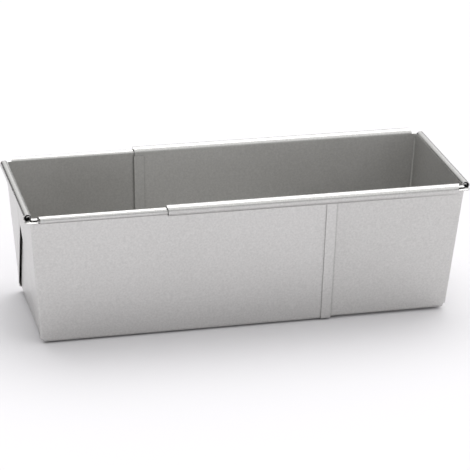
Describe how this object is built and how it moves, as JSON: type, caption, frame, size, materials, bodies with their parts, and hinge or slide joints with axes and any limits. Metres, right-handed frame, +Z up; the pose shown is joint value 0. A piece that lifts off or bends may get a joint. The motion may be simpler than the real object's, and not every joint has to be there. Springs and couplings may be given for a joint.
{
  "type": "adjustable loaf pan",
  "caption": "Open rectangular baking pan whose folded sheet-metal halves slide inside each other to change its length, with rolled rims, folded corners and hemmed open edges.",
  "frame": {"origin": "on the table, under the middle of the pan's length and width at the length that is shown", "axes": "+X along the pan, towards the inner half's closed end; +Y towards the back; +Z up"},
  "size_m": [0.275, 0.109, 0.0877],
  "materials": {
    "coated_steel": "satin silver-grey baked-on coating on sheet steel, with a fine sparkle"
  },
  "bodies": {
    "outer": {"outer_half": "coated_steel"},
    "inner": {"inner_half": "coated_steel"}
  },
  "joints": [
    {"name": "length_slide", "type": "slide", "parent": "outer", "child": "inner", "axis": [1, 0, 0], "range_m": [-0.0717, 0.075]}
  ]
}
